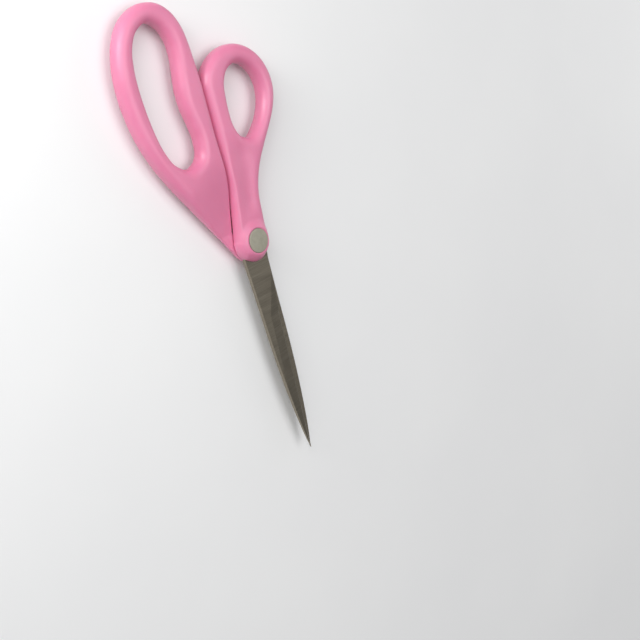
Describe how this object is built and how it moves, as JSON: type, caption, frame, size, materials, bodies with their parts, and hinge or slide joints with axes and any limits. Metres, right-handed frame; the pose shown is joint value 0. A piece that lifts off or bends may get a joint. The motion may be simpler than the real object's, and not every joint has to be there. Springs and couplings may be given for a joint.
{
  "type": "office scissors",
  "caption": "Office scissors with a long finger loop and a small thumb loop, moulded plastic handles, straight pointed blades and a capped pivot.",
  "frame": {"origin": "on the pivot axis, in the flat outer face of the rear pivot cap, which is what the pair rests on", "axes": "+Z along the pivot axis, out of the front face; +X towards the blade tips; the small thumb loop is on +Y and the long finger loop on -Y"},
  "size_m": [0.203, 0.0759, 0.0122],
  "materials": {
    "handle_plastic": "pink moulded polypropylene, soft satin gloss",
    "blade_steel": "ground stainless steel, finely brushed across the blade",
    "pivot_steel": "turned and pressed steel",
    "cap_grey": "plain satin grey, slightly domed in front"
  },
  "bodies": {
    "finger_half": {"finger_blade": "blade_steel", "finger_handle": "handle_plastic", "pivot_screw": "pivot_steel", "pivot_nut": "pivot_steel", "spring_washer": "pivot_steel", "finger_pivot_cap": "cap_grey"},
    "thumb_half": {"thumb_blade": "blade_steel", "thumb_handle": "handle_plastic", "thumb_pivot_cap": "cap_grey"}
  },
  "joints": [
    {"name": "scissors_pivot", "type": "hinge", "parent": "finger_half", "child": "thumb_half", "pos_m": [0, 0, 0.0061], "axis": [0, 0, -1], "range_deg": [0, 75]}
  ]
}
